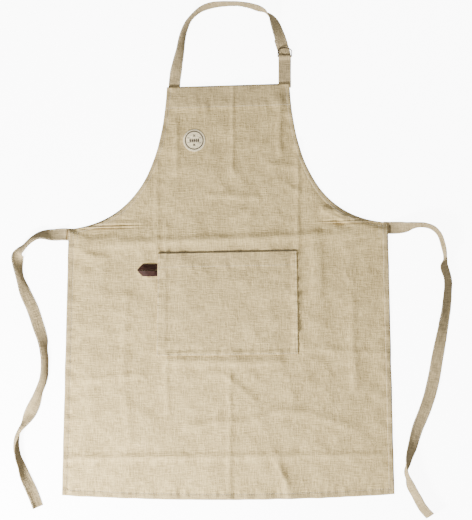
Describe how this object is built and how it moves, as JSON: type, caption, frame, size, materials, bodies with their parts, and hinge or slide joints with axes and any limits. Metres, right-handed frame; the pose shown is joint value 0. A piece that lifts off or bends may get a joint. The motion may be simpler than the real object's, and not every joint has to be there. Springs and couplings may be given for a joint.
{
  "type": "bib apron",
  "caption": "Linen bib apron laid flat: curved armholes, wide waist pocket with a leather loop, round label, neck strap laced through D-rings, and long waist ties.",
  "frame": {"origin": "on the surface that the apron lies on, under the middle of the whole object's box, straps and ties included", "axes": "+Z out of the apron's front, +Y towards the neck, +X to the right of the apron seen from the front; the back lies on z = 0"},
  "size_m": [0.9268, 1.0942, 0.0262],
  "materials": {
    "linen": "slubby plain-weave linen, washed, matt",
    "ribbon_linen": "the same linen folded double and edge-stitched",
    "ring_metal": "dark antique bronze plating",
    "loop_leather": "dark red-brown smooth leather, semi-matt",
    "label_cotton": "cream cotton with a plain printed ring"
  },
  "bodies": {
    "apron_body": {"body_panel": "linen", "bib_top_facing": "linen", "left_armhole_facing": "linen", "right_armhole_facing": "linen", "pocket_panel": "linen", "round_label": "label_cotton"},
    "neck_loop": {"neck_strap": "ribbon_linen", "ring_tab": "ribbon_linen", "d_ring_rear": "ring_metal"},
    "front_ring": {"d_ring_front": "ring_metal"},
    "left_tie": {"left_tie": "ribbon_linen"},
    "right_tie": {"right_tie": "ribbon_linen"},
    "leather_loop": {"leather_loop": "loop_leather"}
  },
  "joints": [
    {"name": "neck_loop_fold", "type": "hinge", "parent": "apron_body", "child": "neck_loop", "pos_m": [-0.00745, 0.37311, 0.0028], "axis": [0.9995, 0.031, 0], "range_deg": [0, 150]},
    {"name": "front_ring_lift", "type": "hinge", "parent": "neck_loop", "child": "front_ring", "pos_m": [0.11235, 0.43298, 0.0056], "axis": [1, 0, 0], "range_deg": [0, 75]},
    {"name": "left_tie_fold", "type": "hinge", "parent": "apron_body", "child": "left_tie", "pos_m": [-0.34695, 0.05662, 0.0024], "axis": [0, 1, 0], "range_deg": [0, 140]},
    {"name": "right_tie_fold", "type": "hinge", "parent": "apron_body", "child": "right_tie", "pos_m": [0.33205, 0.07112, 0.0024], "axis": [0, -1, 0], "range_deg": [0, 140]},
    {"name": "leather_loop_lift", "type": "hinge", "parent": "apron_body", "child": "leather_loop", "pos_m": [-0.15715, -0.01888, 0.005], "axis": [0, 1, 0], "range_deg": [0, 150]}
  ]
}
